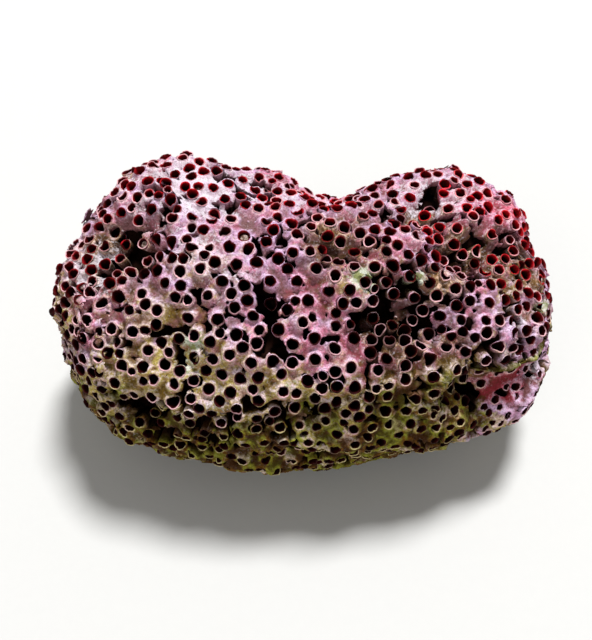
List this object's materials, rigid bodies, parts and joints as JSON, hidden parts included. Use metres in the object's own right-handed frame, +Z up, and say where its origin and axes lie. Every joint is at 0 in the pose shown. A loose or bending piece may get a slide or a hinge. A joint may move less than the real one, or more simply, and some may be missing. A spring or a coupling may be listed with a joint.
{
  "type": "red organ-pipe coral",
  "caption": "Palm-sized two-lobed lump of red organ-pipe coral, covered with round pipe mouths and cut flat underneath so that it rests on a shelf.",
  "frame": {"origin": "centre of the bounding box in plan, at the height of the flat cut base", "axes": "+Z up, square to the cut base; X along the lump's length, with the left lobe towards -X as seen from the front; the pictured side faces -Y"},
  "size_m": [0.0794, 0.0452, 0.0407],
  "materials": {
    "coral_skeleton": "dry and dull, lilac pink crust with paler worn rims and dark red pipe walls, tinged olive low down"
  },
  "bodies": {
    "root": {"organ_pipe_coral": "coral_skeleton"}
  },
  "joints": []
}
